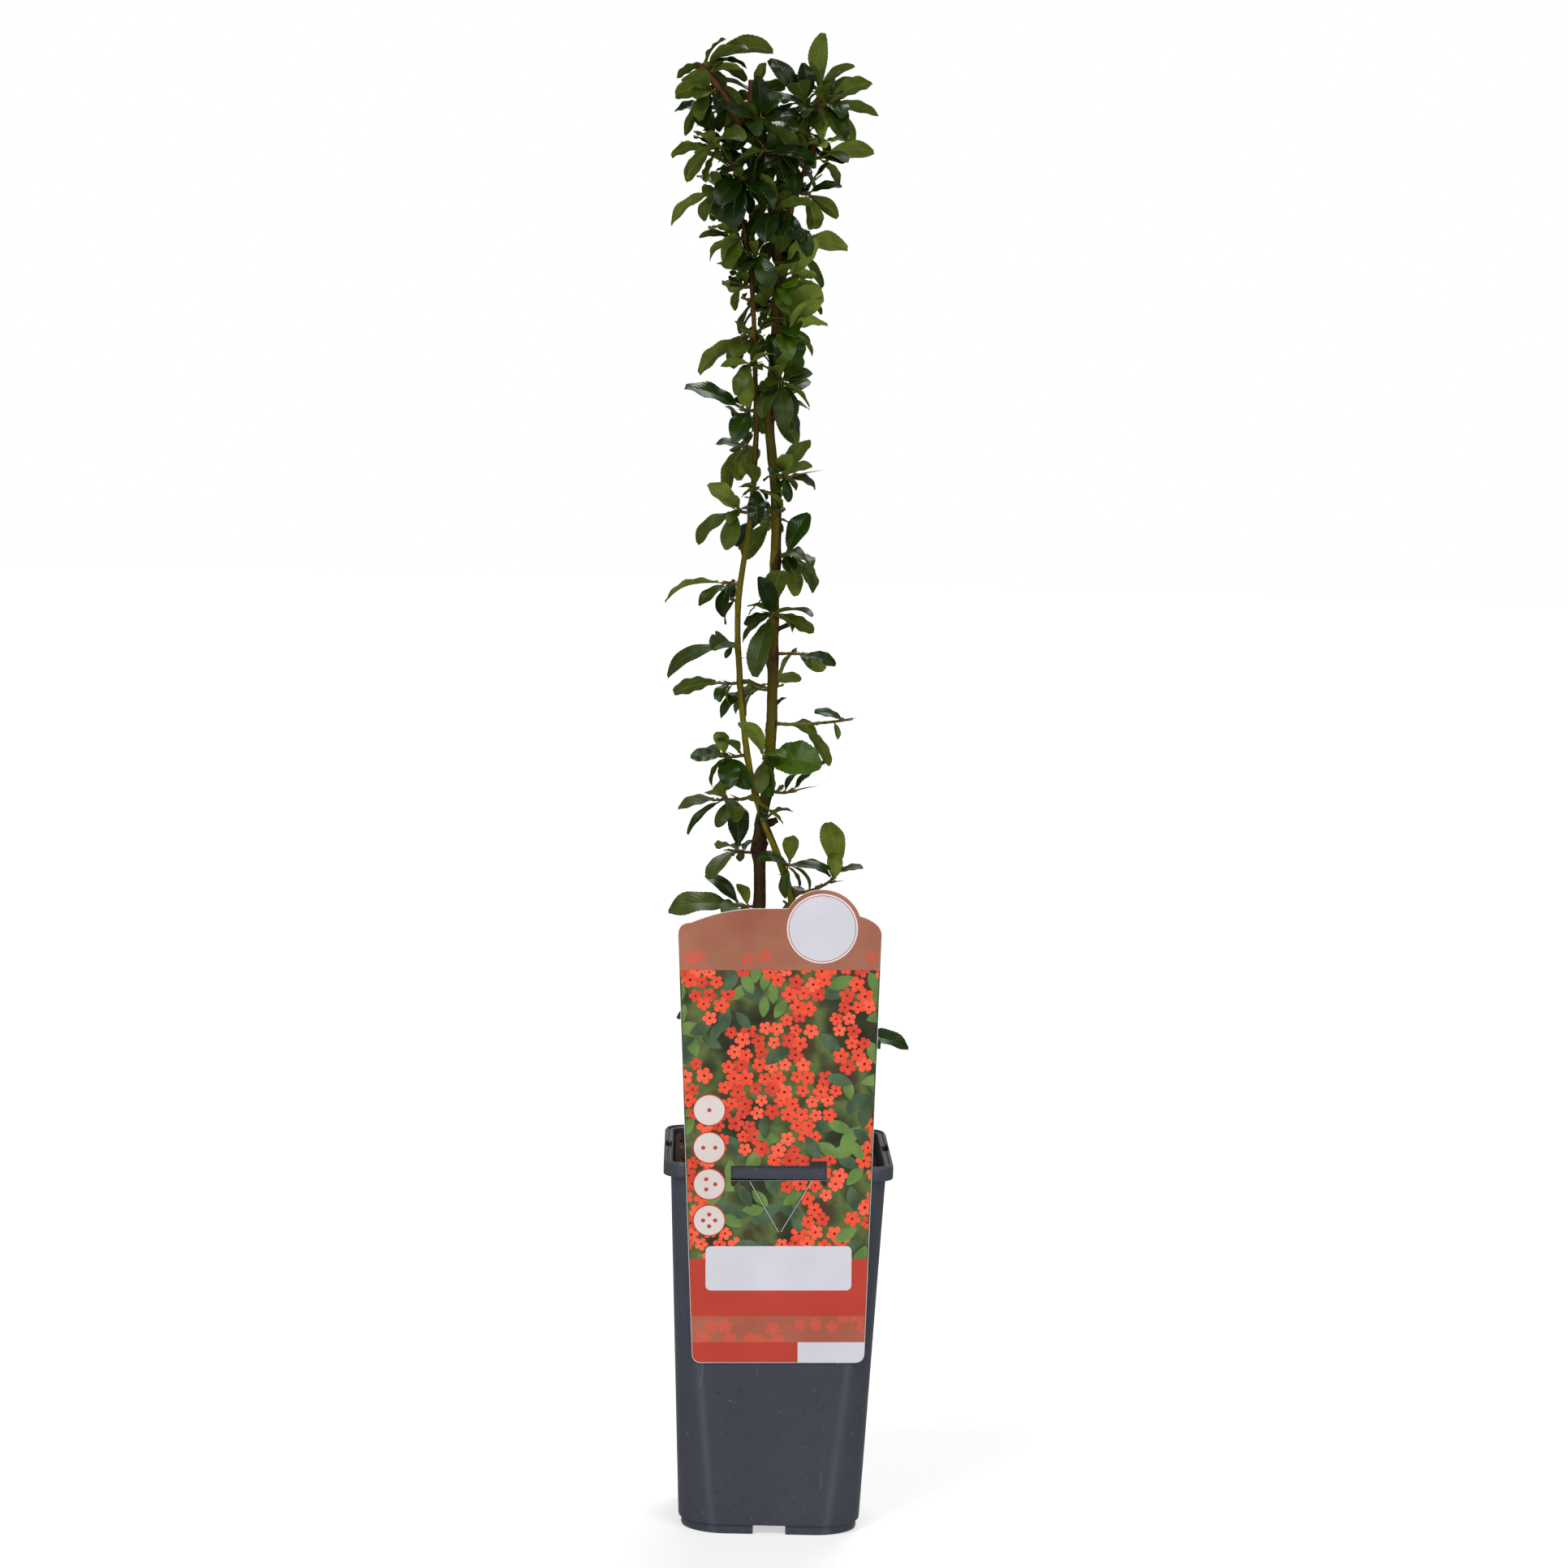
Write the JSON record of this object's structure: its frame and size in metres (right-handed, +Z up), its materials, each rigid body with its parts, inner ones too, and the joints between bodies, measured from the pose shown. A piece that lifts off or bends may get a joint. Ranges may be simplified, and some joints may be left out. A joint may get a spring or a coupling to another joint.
{
  "type": "firethorn shrub in a nursery pot",
  "caption": "Young evergreen firethorn grown as a slim thorny column in a deep square nursery pot, with a picture label that has no lettering.",
  "frame": {"origin": "on the ground, under the middle of the pot's underside", "axes": "+Z up, -Y towards the side that the label hangs on, +X to the right of someone who faces the label"},
  "size_m": [0.149, 0.1552, 0.8515],
  "materials": {
    "pot": "satin anthracite polypropylene",
    "compost": "crumbly, moist",
    "label": "printed, slightly glossy",
    "bark": "olive green to brown young bark",
    "young_bark": "reddish brown young bark",
    "foliage": "glossy leaves"
  },
  "bodies": {
    "root": {"pot": "pot", "compost": "compost", "label_card": "label", "stem_main": "bark", "stem_second": "bark", "bough_top_left": "young_bark", "bough_top_middle": "young_bark", "bough_top_right": "young_bark", "foliage_01": "foliage", "foliage_02": "foliage", "foliage_03": "foliage", "foliage_04": "foliage", "foliage_05": "foliage", "foliage_06": "foliage", "foliage_07": "foliage", "foliage_08": "foliage", "foliage_09": "foliage", "foliage_10": "foliage", "foliage_11": "foliage", "foliage_12": "foliage", "foliage_13": "foliage", "foliage_14": "foliage", "foliage_15": "foliage", "foliage_16": "foliage", "foliage_17": "foliage", "foliage_18": "foliage", "foliage_19": "foliage", "foliage_20": "foliage", "foliage_21": "foliage", "foliage_22": "foliage", "foliage_23": "foliage", "foliage_24": "foliage", "foliage_25": "foliage", "foliage_26": "foliage", "foliage_27": "foliage", "foliage_28": "foliage", "foliage_29": "foliage", "foliage_30": "foliage", "foliage_31": "foliage", "foliage_32": "foliage", "foliage_33": "foliage", "foliage_34": "foliage", "foliage_35": "foliage", "foliage_36": "foliage", "foliage_37": "foliage", "foliage_38": "foliage", "foliage_39": "foliage", "foliage_40": "foliage", "foliage_41": "foliage", "foliage_42": "foliage", "foliage_43": "foliage", "foliage_44": "foliage", "foliage_45": "foliage", "foliage_46": "foliage", "foliage_47": "foliage", "foliage_48": "foliage", "foliage_49": "foliage", "foliage_50": "foliage", "foliage_51": "foliage", "foliage_52": "foliage"}
  },
  "joints": []
}
